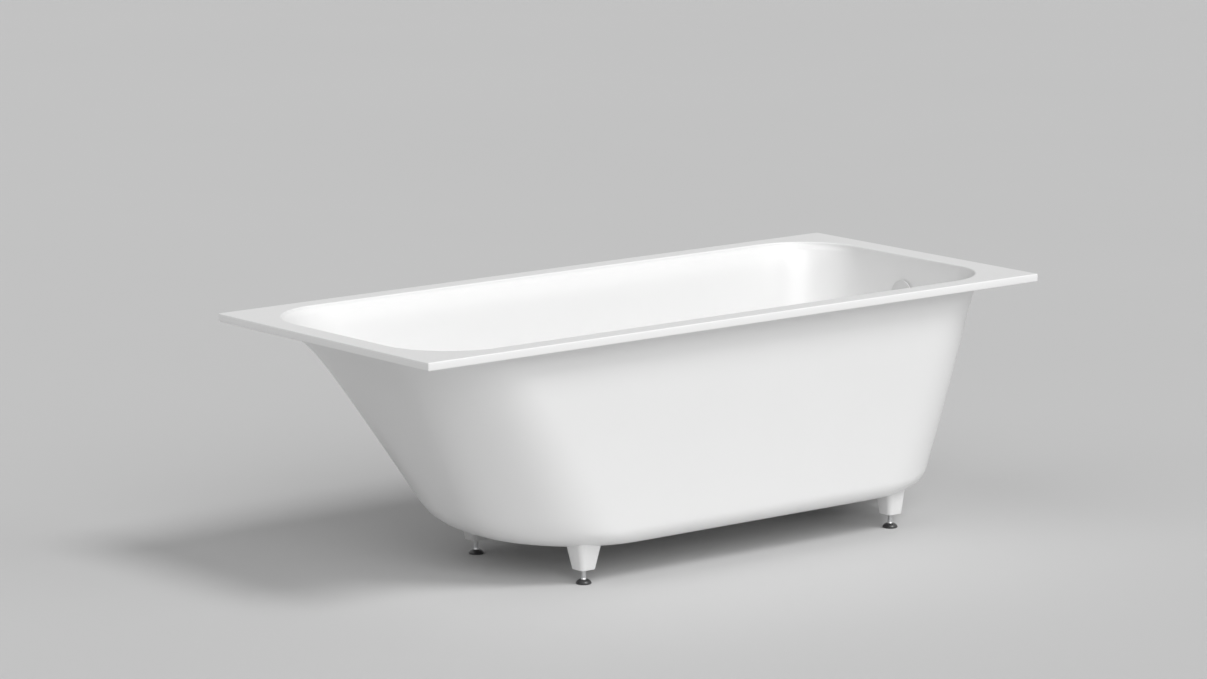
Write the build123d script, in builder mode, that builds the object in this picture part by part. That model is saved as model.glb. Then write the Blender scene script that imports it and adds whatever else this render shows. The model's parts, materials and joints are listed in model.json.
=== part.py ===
"""Built-in bathtub: a cast tub with a flat rim, four levelling feet, waste and overflow.

All sizes are in millimetres. The origin is on the floor under the middle of the rim.
+X points to the foot end with the overflow, +Y to the long side behind, +Z up.
"""
import os
from math import atan, cos, exp, pi, sin, sqrt

from build123d import *

os.makedirs("parts", exist_ok=True)

# Rim and opening
tub_length = 1700.0
tub_width = 750.0
rim_height = 573.0
rim_thickness = 18.0
rim_edge = 2.5
rim_corner = 3.0
head_rim = 52.0
side_rim = 49.0
foot_rim = 60.0
lip_edge = 4.0
opening_head_corner = 164.0
opening_foot_corner = 156.0

# Walls of the tub, seen from the outside
wall = 15.0
underside = 80.0
head_slope = 0.63
head_flare = 45.0
head_flare_depth = 31.0
head_toe = 165.0
side_slope = 0.15
side_flare = 14.5
side_flare_depth = 14.2
side_toe = 50.0
foot_slope = 0.09
foot_bow = 33.0
foot_toe = 62.0
head_corner_top = 182.0
head_corner_bottom = 226.0
foot_corner_top = 176.0
foot_corner_bottom = 212.0
corner_share = 0.97
wall_levels = 9
toe_levels = 7
toe_zone = 70.0

# Leg blocks under the tub
leg_head_setback = 548.5
leg_foot_setback = 271.0
leg_side_setback = 186.0
leg_bottom = 30.0
leg_width = 42.0
leg_corner = 8.0
leg_head_flare = 0.19
leg_foot_flare = 0.11
leg_edge = 1.0
bond_gap = 0.3

# Levelling feet
rod_radius = 6.0
rod_top = 62.0
rod_chamfer = 1.0
bore_play = 1.0
bore_spare = 2.0
insert_radius = 9.0
insert_length = 20.0
insert_recess = 1.5
insert_collar = 1.2
running_gap = 0.05
seat_gap = 0.05
foot_screw_up = 12.0
pad_radius = 17.0
pad_height = 13.5
pad_top_radius = 9.2
pad_rim_height = 3.2
pad_foot_radius = 15.8
ball_height = 9.5

# Waste under the foot end of the floor
waste_setback = 280.0
waste_hole_radius = 26.0
recess_radius = 38.0
recess_depth = 3.0
lip_seal = 1.0
seal_setback = 1.0
flange_radius = 35.0
flange_lip = 2.5
throat_radius = 23.0
throat_wall = 2.5
throat_bottom = 62.0
throat_clearance = 1.0
spider_top = 80.0
spider_thickness = 5.0
spider_arm = 4.0
spider_arms = 5
spider_hub = 3.0
gasket_thickness = 6.0
gasket_radius = 37.0
body_flange = 4.0
bowl_radius = 32.0
bowl_wall = 3.5
bowl_bottom = 30.0
outlet_radius = 20.0
outlet_wall = 2.5
outlet_height = 52.0
outlet_collar_start = 56.0
outlet_collar_radius = 23.0
outlet_collar = 4.0
spigot_length = 44.0

# Push-open plug in the waste
cartridge_radius = 9.0
cartridge_bottom = 57.0
cartridge_top = 84.0
cartridge_wall = 2.4
cartridge_edge = 0.6
stem_radius = 4.0
piston_length = 3.0
plug_travel = 8.0
plug_radius = 31.0
plug_thickness = 3.5
plug_edge = 2.1
plug_seal_radius = 26.5
plug_seal_width = 3.0
plug_seal_height = 1.2
plug_seal_edge = 0.5
spring_wire_radius = 0.6
spring_play = 0.12
spring_turns = 5

# Overflow in the foot wall
overflow_drop = 90.0
overflow_hole_radius = 26.0
overflow_seat = 0.4
overflow_seal = 0.6
overflow_seal_play = 0.5
overflow_lip = 1.4
overflow_lip_radius = 30.0
overflow_lip_play = 1.0
overflow_throat = 25.0
overflow_throat_wall = 2.5
overflow_throat_reach = 10.0
cover_radius = 33.0
cover_standoff = 4.5
cover_thickness = 2.6
cover_edge = 0.9
clip_wall = 1.6
clip_depth = 6.0
clip_slots = 3
clip_slot_width = 14.0
clip_turn = 30.0
screw_radius = 3.0
screw_head_radius = 5.5
screw_head = 3.0
screw_edge = 0.5
screw_seat = -2.0
screw_boss_wall = 2.0
screw_spare = 2.0
elbow_gasket = 5.0
elbow_flange_radius = 37.0
elbow_flange = 4.0
elbow_radius = 29.0
elbow_depth = 30.0
elbow_wall = 3.0
elbow_post_radius = 5.5
elbow_post_margin = 1.0
elbow_outlet_offset = 23.5
elbow_outlet_reach = 51.0

# Overflow pipe with its two compression joints
pipe_radius = 14.0
pipe_wall = 2.0
pipe_insert = 12.0
pipe_bend = 62.0
inlet_height = 50.0
inlet_reach = 54.0
socket_wall = 3.4
nut_radius = 21.0
nut_length = 18.0
nut_shoulder = 3.0
nut_grips = 8
nut_grip_radius = 2.0
nut_play = 0.4
ring_length = 3.0
ring_play = 0.3

# Places worked out from the sizes above
body_top = rim_height - rim_thickness
body_depth = body_top - underside
head_end = -tub_length / 2
foot_end = tub_length / 2
floor_top = underside + wall
waste_x = foot_end - waste_setback
leg_head_x = head_end + leg_head_setback
leg_foot_x = foot_end - leg_foot_setback
leg_spread = tub_width / 2 - leg_side_setback
leg_blank_top = underside + head_toe
overflow_height = rim_height - overflow_drop


def inset(level, slope, flare, flare_depth, bow, toe, skin):
    """How far a wall lies inside the edge of the body's top, at a level and a skin depth."""

    def line(depth):
        """Place and lean of the wall above its rounded toe."""
        place = slope * depth + flare * (1 - exp(-depth / flare_depth)) + bow * (depth / body_depth) ** 2
        lean = slope + flare / flare_depth * exp(-depth / flare_depth) + 2 * bow * depth / body_depth**2
        return place, lean

    toe_centre = underside + toe
    radius = toe - skin
    toe_lean = atan(line(body_depth - toe)[1])
    toe_level = toe_centre - radius * sin(toe_lean)
    if level >= toe_level:
        place, lean = line(body_top - level)
        return place + skin * sqrt(1 + lean**2)
    place, lean = line(body_top - toe_centre + toe * sin(toe_lean))
    return place + toe * cos(toe_lean) - sqrt(max(0, radius**2 - (toe_centre - level) ** 2))


def head_inset(level, skin):
    """Inset of the sloping head end."""
    return inset(level, head_slope, head_flare, head_flare_depth, 0, head_toe, skin)


def side_inset(level, skin):
    """Inset of a long side."""
    return inset(level, side_slope, side_flare, side_flare_depth, 0, side_toe, skin)


def foot_inset(level, skin):
    """Inset of the steep foot end."""
    return inset(level, foot_slope, 0, 1, foot_bow, foot_toe, skin)


def tub_outline(level, head_x, foot_x, half_width, head_corner, foot_corner):
    """A level oblong with one radius for both head corners and one for both foot corners."""
    head_corner = min(head_corner, corner_share * half_width)
    foot_corner = min(foot_corner, corner_share * half_width)
    corners = [(head_x, -half_width), (foot_x, -half_width), (foot_x, half_width), (head_x, half_width)]
    with BuildSketch(Plane.XY.offset(level)) as outline:
        with BuildLine():
            FilletPolyline(corners, radius=[head_corner, foot_corner, foot_corner, head_corner], close=True)
        make_face()
    return outline.sketch


def wall_outline(level, skin):
    """The tub's outline at a level, at a depth under its outer skin."""
    height = (level - underside - skin) / (body_depth - skin)
    bulge = 1 - height**2
    return tub_outline(
        level,
        head_end + head_rim - wall + head_inset(level, skin),
        foot_end - foot_rim + wall - foot_inset(level, skin),
        tub_width / 2 - side_rim + wall - side_inset(level, skin),
        head_corner_top + (head_corner_bottom - head_corner_top) * bulge - skin,
        foot_corner_top + (foot_corner_bottom - foot_corner_top) * bulge - skin,
    )


def wall_outlines(skin):
    """Outlines from the floor up: close together round the toe and under the rim."""
    floor = underside + skin
    toe_top = underside + toe_zone
    toe = [floor + (toe_top - floor) * (1 - cos(step / toe_levels * pi / 2)) for step in range(toe_levels)]
    upper = [toe_top + (body_top - toe_top) * sin(step / wall_levels * pi / 2) for step in range(wall_levels + 1)]
    return [wall_outline(level, skin) for level in toe + upper]


def opening_outline(level):
    """The opening in the rim."""
    return tub_outline(
        level,
        head_end + head_rim,
        foot_end - foot_rim,
        tub_width / 2 - side_rim,
        opening_head_corner,
        opening_foot_corner,
    )


# The overflow stands square to the leaning foot wall
overflow_depth = body_top - overflow_height
overflow_lean = atan(foot_slope + 2 * foot_bow * overflow_depth / body_depth**2)
overflow_x = foot_end - foot_rim + wall - foot_inset(overflow_height, wall - overflow_seat)
into_basin = Vector(-cos(overflow_lean), 0, sin(overflow_lean))
down_wall = Vector(-sin(overflow_lean), 0, -cos(overflow_lean))
overflow_centre = Vector(overflow_x, 0, overflow_height)
overflow_plane = Plane(overflow_centre, x_dir=(0, 1, 0), z_dir=into_basin)
waste_axis = Plane((waste_x, 0, 0))


# Tub shell: rim plate and basin cast in one
with BuildPart() as tub_shell:
    with BuildSketch(Plane.XY.offset(body_top)):
        RectangleRounded(tub_length, tub_width, rim_corner)
    extrude(amount=rim_thickness)
    rim_faces = tub_shell.faces().filter_by(Axis.Z)
    fillet(rim_faces.edges(), radius=rim_edge)
    loft(wall_outlines(0))
    loft(wall_outlines(wall)[:-1] + [opening_outline(rim_height)], mode=Mode.SUBTRACT)
    rim_top = tub_shell.faces().filter_by(Axis.Z).sort_by(Axis.Z)[-1]
    fillet(rim_top.inner_wires()[0].edges(), radius=lip_edge)
    with BuildSketch(waste_axis.offset(floor_top)):
        Circle(recess_radius)
    extrude(amount=-recess_depth, mode=Mode.SUBTRACT)
    with BuildSketch(waste_axis.offset(underside)):
        Circle(waste_hole_radius)
    extrude(amount=wall, mode=Mode.SUBTRACT)
    with BuildSketch(overflow_plane):
        Circle(overflow_lip_radius + overflow_lip_play)
    extrude(amount=overflow_seal, mode=Mode.SUBTRACT)
    with BuildSketch(overflow_plane.offset(-2 * wall)):
        Circle(overflow_hole_radius)
    extrude(amount=3 * wall, mode=Mode.SUBTRACT)
tub_shell.part.label = "tub_shell"
export_step(tub_shell.part, "parts/tub_shell.step")

# Space that the leg blocks leave for the tub and its layer of adhesive
with BuildPart() as bonded_form:
    loft(wall_outlines(-bond_gap))

# Four levelling feet: leg block, threaded insert, rod and pad under each
corners = {
    "head_front": (leg_head_x, -leg_spread, leg_head_flare),
    "head_back": (leg_head_x, leg_spread, leg_head_flare),
    "foot_front": (leg_foot_x, -leg_spread, leg_foot_flare),
    "foot_back": (leg_foot_x, leg_spread, leg_foot_flare),
}
insert_bottom = leg_bottom + insert_recess
rod_bore_top = rod_top + foot_screw_up + bore_spare
for corner, (leg_x, leg_y, leg_flare) in corners.items():
    foot_axis = Plane((leg_x, leg_y, 0))
    leg_rise = leg_blank_top - leg_bottom
    leg_top_width = leg_width + 2 * leg_rise * leg_flare

    with BuildPart() as leg_block:
        with BuildSketch(foot_axis.offset(leg_bottom)):
            RectangleRounded(leg_width, leg_width, leg_corner)
        with BuildSketch(foot_axis.offset(leg_blank_top)):
            RectangleRounded(leg_top_width, leg_top_width, leg_corner * leg_top_width / leg_width)
        loft(ruled=True)
        leg_foot = leg_block.faces().filter_by(Axis.Z).sort_by(Axis.Z)[0]
        fillet(leg_foot.edges(), radius=leg_edge)
        add(bonded_form.part, mode=Mode.SUBTRACT)
        with BuildSketch(foot_axis.offset(leg_bottom)):
            Circle(insert_radius + seat_gap)
        extrude(amount=insert_recess + insert_length, mode=Mode.SUBTRACT)
        with BuildSketch(foot_axis.offset(leg_bottom)):
            Circle(rod_radius + bore_play)
        extrude(amount=rod_bore_top - leg_bottom, mode=Mode.SUBTRACT)
    leg_block.part.label = "leg_" + corner
    export_step(leg_block.part, "parts/leg_" + corner + ".step")

    with BuildPart() as leg_insert:
        with BuildSketch(foot_axis.offset(insert_bottom)):
            Circle(insert_radius)
            Circle(rod_radius + running_gap, mode=Mode.SUBTRACT)
        extrude(amount=insert_length)
        groove_level = insert_bottom + insert_length / 2 - insert_collar
        with BuildSketch(foot_axis.offset(groove_level)):
            Circle(insert_radius + bore_play)
            Circle(insert_radius - insert_collar, mode=Mode.SUBTRACT)
        extrude(amount=2 * insert_collar, mode=Mode.SUBTRACT)
    leg_insert.part.label = "insert_" + corner
    export_step(leg_insert.part, "parts/insert_" + corner + ".step")

    with BuildPart() as rod:
        with BuildSketch(foot_axis * Plane.XZ):
            with BuildLine():
                Polyline((0, rod_top), (rod_radius - rod_chamfer, rod_top), (rod_radius, rod_top - rod_chamfer))
                Line((rod_radius, rod_top - rod_chamfer), (rod_radius, ball_height))
                RadiusArc((rod_radius, ball_height), (0, ball_height - rod_radius), rod_radius)
                Line((0, ball_height - rod_radius), (0, rod_top))
            make_face()
        revolve(axis=Axis((leg_x, leg_y, 0), (0, 0, 1)))
    rod.part.label = "rod_" + corner
    export_step(rod.part, "parts/rod_" + corner + ".step")

    socket_radius = rod_radius + running_gap
    with BuildPart() as pad:
        with BuildSketch(foot_axis * Plane.XZ):
            with BuildLine():
                Polyline((0, 0), (pad_foot_radius, 0), (pad_radius, pad_rim_height / 2), (pad_radius, pad_rim_height))
                RadiusArc((pad_radius, pad_rim_height), (pad_top_radius, pad_height), -pad_height)
                Polyline((pad_top_radius, pad_height), (socket_radius, pad_height), (socket_radius, ball_height))
                RadiusArc((socket_radius, ball_height), (0, ball_height - socket_radius), socket_radius)
                Line((0, ball_height - socket_radius), (0, 0))
            make_face()
        revolve(axis=Axis((leg_x, leg_y, 0), (0, 0, 1)))
    pad.part.label = "pad_" + corner
    export_step(pad.part, "parts/pad_" + corner + ".step")


def disc(plane, outer, inner, low, high):
    """A flat ring square to a plane, between two distances from it."""
    with BuildPart(mode=Mode.PRIVATE) as ring:
        with BuildSketch(plane.offset(low)):
            Circle(outer)
            if inner:
                Circle(inner, mode=Mode.SUBTRACT)
        extrude(amount=high - low)
    return ring.part


# Waste: flange, seals and body
seal_floor = floor_top - recess_depth
flange_floor = seal_floor + lip_seal
flange_top = flange_floor + flange_lip
gasket_bottom = underside - gasket_thickness

with BuildPart() as waste_lip_seal:
    add(disc(waste_axis, flange_radius - seal_setback, waste_hole_radius, seal_floor, flange_floor))
waste_lip_seal.part.label = "waste_lip_seal"
export_step(waste_lip_seal.part, "parts/waste_lip_seal.step")

with BuildPart() as waste_flange:
    throat_bore = throat_radius - throat_wall
    add(disc(waste_axis, flange_radius, throat_bore, flange_floor, flange_top))
    fillet(waste_flange.faces().sort_by(Axis.Z)[-1].outer_wire().edges(), radius=flange_lip / 2)
    add(disc(waste_axis, throat_radius, throat_bore, throat_bottom, flange_top))
    chamfer(waste_flange.faces().sort_by(Axis.Z)[-1].inner_wires()[0].edges(), length=flange_lip / 2)
    with BuildSketch(waste_axis.offset(spider_top - spider_thickness)):
        Circle(cartridge_radius + spider_hub)
        with PolarLocations(0, spider_arms):
            with Locations((throat_radius / 2, 0)):
                Rectangle(throat_radius - throat_wall / 2, spider_arm)
        Circle(cartridge_radius + seat_gap, mode=Mode.SUBTRACT)
    extrude(amount=spider_thickness)
waste_flange.part.label = "waste_flange"
export_step(waste_flange.part, "parts/waste_flange.step")

with BuildPart() as waste_gasket:
    add(disc(waste_axis, gasket_radius, waste_hole_radius, gasket_bottom, underside))
waste_gasket.part.label = "waste_gasket"
export_step(waste_gasket.part, "parts/waste_gasket.step")

inlet_plane = Plane((waste_x, 0, inlet_height), x_dir=(0, 1, 0), z_dir=(1, 0, 0))
outlet_plane = Plane((waste_x, 0, outlet_height), x_dir=(1, 0, 0), z_dir=(0, 1, 0))
socket_bore = pipe_radius + seat_gap
socket_radius = socket_bore + socket_wall
outlet_reach = outlet_collar_start + outlet_collar + spigot_length
with BuildPart() as waste_body:
    add(disc(waste_axis, gasket_radius, 0, gasket_bottom - body_flange, gasket_bottom))
    add(disc(waste_axis, bowl_radius, 0, bowl_bottom, gasket_bottom))
    fillet(waste_body.faces().sort_by(Axis.Z)[0].edges(), radius=bowl_wall)
    add(disc(inlet_plane, socket_radius, 0, 0, inlet_reach))
    add(disc(outlet_plane, outlet_radius, 0, 0, outlet_reach))
    collar_end = outlet_collar_start + outlet_collar
    add(disc(outlet_plane, outlet_collar_radius, 0, outlet_collar_start, collar_end))
    bowl_top = throat_bottom - throat_clearance
    add(disc(waste_axis, bowl_radius - bowl_wall, 0, bowl_bottom + bowl_wall, bowl_top), mode=Mode.SUBTRACT)
    add(disc(waste_axis, throat_radius + seat_gap, 0, bowl_top, gasket_bottom), mode=Mode.SUBTRACT)
    add(disc(inlet_plane, pipe_radius - pipe_wall, 0, 0, inlet_reach), mode=Mode.SUBTRACT)
    socket_floor = inlet_reach - pipe_insert
    add(disc(inlet_plane, socket_bore, 0, socket_floor, inlet_reach), mode=Mode.SUBTRACT)
    add(disc(outlet_plane, outlet_radius - outlet_wall, 0, 0, outlet_reach), mode=Mode.SUBTRACT)
waste_body.part.label = "waste_body"
export_step(waste_body.part, "parts/waste_body.step")

# Push-open plug: fixed cartridge with its spring, moving stem, cap and seal
chamber_radius = cartridge_radius - cartridge_wall
chamber_bottom = cartridge_bottom + cartridge_wall
chamber_top = cartridge_top - cartridge_wall
piston_top = chamber_top - plug_travel - seat_gap
piston_bottom = piston_top - piston_length
plug_bottom = flange_top + bond_gap + plug_seal_height

with BuildPart() as plug_cartridge:
    add(disc(waste_axis, cartridge_radius, 0, cartridge_bottom, cartridge_top))
    chamfer(plug_cartridge.edges().filter_by(GeomType.CIRCLE), length=cartridge_edge)
    add(disc(waste_axis, chamber_radius, 0, chamber_bottom, chamber_top), mode=Mode.SUBTRACT)
    add(disc(waste_axis, stem_radius + running_gap, 0, chamber_top, cartridge_top), mode=Mode.SUBTRACT)
plug_cartridge.part.label = "plug_cartridge"
export_step(plug_cartridge.part, "parts/plug_cartridge.step")

with BuildPart() as plug_stem:
    add(disc(waste_axis, stem_radius, 0, piston_top, plug_bottom))
    add(disc(waste_axis, chamber_radius - running_gap, 0, piston_bottom, piston_top))
plug_stem.part.label = "plug_stem"
export_step(plug_stem.part, "parts/plug_stem.step")

with BuildPart() as plug_cap:
    add(disc(waste_axis, plug_radius, 0, plug_bottom, plug_bottom + plug_thickness))
    fillet(plug_cap.faces().sort_by(Axis.Z)[-1].edges(), radius=plug_edge)
plug_cap.part.label = "plug_cap"
export_step(plug_cap.part, "parts/plug_cap.step")

with BuildPart() as plug_seal:
    seal_bottom = plug_bottom - plug_seal_height
    add(disc(waste_axis, plug_seal_radius, plug_seal_radius - plug_seal_width, seal_bottom, plug_bottom))
    fillet(plug_seal.faces().sort_by(Axis.Z)[0].edges(), radius=plug_seal_edge)
plug_seal.part.label = "plug_seal"
export_step(plug_seal.part, "parts/plug_seal.step")

with BuildPart() as plug_spring:
    coil_radius = chamber_radius - 2 * spring_wire_radius
    coil_bottom = chamber_bottom + spring_wire_radius + spring_play
    coil_height = piston_bottom - chamber_bottom - 2 * (spring_wire_radius + spring_play)
    with BuildLine() as coil:
        Helix(coil_height / spring_turns, coil_height, coil_radius, center=(waste_x, 0, coil_bottom))
    with BuildSketch(Plane(coil.line @ 0, z_dir=coil.line % 0)):
        Circle(spring_wire_radius)
    sweep()
plug_spring.part.label = "plug_spring"
export_step(plug_spring.part, "parts/plug_spring.step")

# Overflow, along the axis square to the foot wall: basin side first
lip_top = overflow_seal + overflow_lip
throat_bore = overflow_throat - overflow_throat_wall

with BuildPart() as overflow_lip_seal:
    seal_outer = overflow_lip_radius - overflow_seal_play
    add(disc(overflow_plane, seal_outer, overflow_throat + overflow_seal_play, 0, overflow_seal))
overflow_lip_seal.part.label = "overflow_lip_seal"
export_step(overflow_lip_seal.part, "parts/overflow_lip_seal.step")

with BuildPart() as overflow_flange:
    add(disc(overflow_plane, overflow_lip_radius, throat_bore, overflow_seal, lip_top))
    add(disc(overflow_plane, overflow_throat, throat_bore, -overflow_throat_reach, lip_top))
    with BuildSketch(overflow_plane.offset(-overflow_throat_reach)):
        Circle(screw_head_radius + screw_boss_wall)
        with PolarLocations(0, clip_slots, start_angle=clip_turn):
            with Locations((overflow_throat / 2, 0)):
                Rectangle(overflow_throat - overflow_throat_wall / 2, spider_arm)
        Circle(screw_radius + seat_gap, mode=Mode.SUBTRACT)
    extrude(amount=overflow_throat_reach + screw_seat - screw_head)
overflow_flange.part.label = "overflow_flange"
export_step(overflow_flange.part, "parts/overflow_flange.step")

with BuildPart() as overflow_cover:
    cover_back = cover_standoff
    cover_front = cover_back + cover_thickness
    add(disc(overflow_plane, cover_radius, 0, cover_back, cover_front))
    fillet(overflow_cover.edges().filter_by(GeomType.CIRCLE), radius=cover_edge)
    clip_radius = throat_bore - seat_gap
    add(disc(overflow_plane, clip_radius, clip_radius - clip_wall, lip_top - clip_depth, cover_back))
    with BuildSketch(overflow_plane.offset(lip_top - clip_depth)):
        with PolarLocations(0, clip_slots, start_angle=clip_turn):
            with Locations((clip_radius, 0)):
                Rectangle(clip_radius, clip_slot_width)
    extrude(amount=cover_back - lip_top + clip_depth, mode=Mode.SUBTRACT)
overflow_cover.part.label = "overflow_cover"
export_step(overflow_cover.part, "parts/overflow_cover.step")

outer_skin = overflow_seat - wall
gasket_back = outer_skin - elbow_gasket
elbow_back = gasket_back - elbow_depth
with BuildPart() as overflow_gasket:
    add(disc(overflow_plane, elbow_flange_radius - seal_setback, overflow_hole_radius, gasket_back, outer_skin))
overflow_gasket.part.label = "overflow_gasket"
export_step(overflow_gasket.part, "parts/overflow_gasket.step")

outlet_axis_start = overflow_centre + into_basin * (outer_skin - elbow_outlet_offset)
elbow_outlet = Plane(outlet_axis_start, x_dir=(0, 1, 0), z_dir=down_wall)
with BuildPart() as overflow_elbow:
    add(disc(overflow_plane, elbow_flange_radius, 0, gasket_back - elbow_flange, gasket_back))
    add(disc(overflow_plane, elbow_radius, 0, elbow_back, gasket_back))
    add(disc(elbow_outlet, socket_radius, 0, 0, elbow_outlet_reach))
    post_floor = elbow_back + elbow_wall
    add(disc(overflow_plane, elbow_radius - elbow_wall, elbow_post_radius, post_floor, gasket_back), mode=Mode.SUBTRACT)
    add(disc(overflow_plane, screw_radius, 0, post_floor, gasket_back), mode=Mode.SUBTRACT)
    outlet_floor = elbow_outlet_reach - pipe_insert
    bore_start = elbow_post_radius + elbow_post_margin
    add(disc(elbow_outlet, pipe_radius - pipe_wall, 0, bore_start, elbow_outlet_reach), mode=Mode.SUBTRACT)
    add(disc(elbow_outlet, socket_bore, 0, outlet_floor, elbow_outlet_reach), mode=Mode.SUBTRACT)
overflow_elbow.part.label = "overflow_elbow"
export_step(overflow_elbow.part, "parts/overflow_elbow.step")

with BuildPart() as overflow_screw:
    add(disc(overflow_plane, screw_head_radius, 0, screw_seat - screw_head, screw_seat))
    chamfer(overflow_screw.faces().sort_by(Axis.X)[0].edges(), length=screw_edge)
    add(disc(overflow_plane, screw_radius - seat_gap, 0, post_floor + screw_spare, screw_seat))
overflow_screw.part.label = "overflow_screw"
export_step(overflow_screw.part, "parts/overflow_screw.step")

# Overflow pipe: down along the foot wall, round one bend and into the waste body
pipe_top = elbow_outlet.offset(elbow_outlet_reach - pipe_insert + seat_gap).origin
run_down = (pipe_top.Z - inlet_height) / -down_wall.Z
pipe_corner = pipe_top + down_wall * run_down
pipe_end = inlet_plane.offset(socket_floor + seat_gap).origin
with BuildPart() as overflow_pipe:
    with BuildLine():
        FilletPolyline(pipe_top, pipe_corner, pipe_end, radius=pipe_bend)
    with BuildSketch(Plane(pipe_top, x_dir=(0, 1, 0), z_dir=down_wall)):
        Circle(pipe_radius)
        Circle(pipe_radius - pipe_wall, mode=Mode.SUBTRACT)
    sweep()
overflow_pipe.part.label = "overflow_pipe"
export_step(overflow_pipe.part, "parts/overflow_pipe.step")

# Compression joints: a rubber ring and a union nut at each end of the pipe
joints = {
    "upper": elbow_outlet.offset(elbow_outlet_reach),
    "lower": inlet_plane.offset(inlet_reach),
}
for end, joint_plane in joints.items():
    with BuildPart() as pipe_ring:
        add(disc(joint_plane, socket_radius - ring_play, pipe_radius + seat_gap, 0, ring_length))
    pipe_ring.part.label = "pipe_ring_" + end
    export_step(pipe_ring.part, "parts/pipe_ring_" + end + ".step")

    with BuildPart() as union_nut:
        nut_low = ring_length + nut_shoulder - nut_length
        with BuildSketch(joint_plane.offset(nut_low)):
            Circle(nut_radius)
            with PolarLocations(nut_radius, nut_grips):
                Circle(nut_grip_radius, mode=Mode.SUBTRACT)
        extrude(amount=nut_length)
        add(disc(joint_plane, socket_radius + seat_gap, 0, nut_low, ring_length), mode=Mode.SUBTRACT)
        add(disc(joint_plane, pipe_radius + nut_play, 0, ring_length, ring_length + nut_shoulder), mode=Mode.SUBTRACT)
    union_nut.part.label = "union_nut_" + end
    export_step(union_nut.part, "parts/union_nut_" + end + ".step")
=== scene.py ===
# %% [markdown]
# # A built-in bathtub
#
# The tub is one casting of mineral and resin: a flat rim, and a basin whose outer and inner walls run
# side by side. It stands on four levelling feet. A waste and an overflow are clamped into it. The
# engineering model gives every piece its place and its motion. This script gives the pieces their looks:
# it loads that model as a fixed frame, hangs a finer mesh on each body, and lights the whole.

# %% Load the frame
import json
from math import atan, atan2, cos, exp, pi, radians, sin, sqrt, tan

import bmesh
import bpy
from mathutils import Matrix, Vector
from mathutils.bvhtree import BVHTree

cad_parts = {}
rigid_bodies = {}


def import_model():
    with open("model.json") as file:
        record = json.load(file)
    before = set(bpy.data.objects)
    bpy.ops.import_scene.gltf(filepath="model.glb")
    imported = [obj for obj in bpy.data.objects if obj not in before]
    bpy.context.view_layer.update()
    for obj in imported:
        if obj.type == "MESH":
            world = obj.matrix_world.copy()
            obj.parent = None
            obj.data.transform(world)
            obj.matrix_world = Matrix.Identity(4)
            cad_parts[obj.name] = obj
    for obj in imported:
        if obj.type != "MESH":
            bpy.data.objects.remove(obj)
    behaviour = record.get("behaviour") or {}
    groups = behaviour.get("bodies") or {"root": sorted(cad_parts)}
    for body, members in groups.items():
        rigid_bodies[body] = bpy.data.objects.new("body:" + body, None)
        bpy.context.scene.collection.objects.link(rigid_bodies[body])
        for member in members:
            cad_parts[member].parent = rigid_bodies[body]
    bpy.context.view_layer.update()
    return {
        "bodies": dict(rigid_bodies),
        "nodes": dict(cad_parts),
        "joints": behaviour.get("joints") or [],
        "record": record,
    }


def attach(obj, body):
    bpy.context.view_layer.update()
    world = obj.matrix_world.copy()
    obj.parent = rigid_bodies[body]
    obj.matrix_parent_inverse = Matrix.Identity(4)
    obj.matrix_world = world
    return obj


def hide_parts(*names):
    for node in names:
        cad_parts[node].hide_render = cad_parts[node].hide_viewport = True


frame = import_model()

# %% [markdown]
# ## Sizes
#
# All sizes are written in millimetres, as on a drawing, and the finished meshes are brought to metres
# in one place. They are the sizes of the engineering model, because each new piece has to sit exactly
# where the piece that it replaces sits.

# %% Sizes of the tub
MM = 0.001
tub_length = 1700.0
tub_width = 750.0
rim_height = 573.0
rim_thickness = 18.0
rim_edge = 2.5
rim_corner = 3.0
head_rim = 52.0
side_rim = 49.0
foot_rim = 60.0
lip_edge = 4.0
opening_corners = (164.0, 156.0)
wall = 15.0
underside = 80.0
head_wall = {"slope": 0.63, "flare": 45.0, "flare_depth": 31.0, "bow": 0.0, "toe": 165.0}
side_wall = {"slope": 0.15, "flare": 14.5, "flare_depth": 14.2, "bow": 0.0, "toe": 50.0}
foot_wall = {"slope": 0.09, "flare": 0.0, "flare_depth": 1.0, "bow": 33.0, "toe": 62.0}
corners_at_top = (182.0, 176.0)
corners_at_bottom = (226.0, 212.0)
corner_share = 0.97
body_top = rim_height - rim_thickness
body_depth = body_top - underside
floor_top = underside + wall
half_length = tub_length / 2
half_width = tub_width / 2
print("body", body_depth, "mm deep under the rim")

# %% [markdown]
# ## The camera
#
# The photograph was taken from far away with a long lens, from the head end and a little above the
# rim. The rim's straight edges fix the camera: its place, its heading and its lens.

# %% Camera
photo_width = 1207
focal_pixels = 5159.9
heading = radians(-38.766)
looking_down = radians(10.373)
camera_roll = radians(-0.139)
camera_place = Vector((-7.015, -8.619, 2.504))

camera_data = bpy.data.cameras.new("camera")
camera_data.sensor_width = 36.0
camera_data.lens = camera_data.sensor_width * focal_pixels / photo_width
camera_data.clip_end = 200.0
camera = bpy.data.objects.new("camera", camera_data)
bpy.context.scene.collection.objects.link(camera)
bpy.context.scene.camera = camera
back = Vector((sin(heading) * cos(looking_down), -cos(heading) * cos(looking_down), sin(looking_down)))
camera.rotation_mode = "QUATERNION"
aim = (-back).to_track_quat("-Z", "Y")
camera.rotation_quaternion = aim @ Matrix.Rotation(camera_roll, 3, "Z").to_quaternion()
camera.location = camera_place
print("lens", round(camera_data.lens, 1), "mm")

# %% [markdown]
# ## Shader arithmetic
#
# A material is a small graph of nodes. Written as Python sums it stays readable, so one class wraps a
# socket, and plus, minus and times on it add the Math nodes. Every other node comes from `make`.

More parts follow.
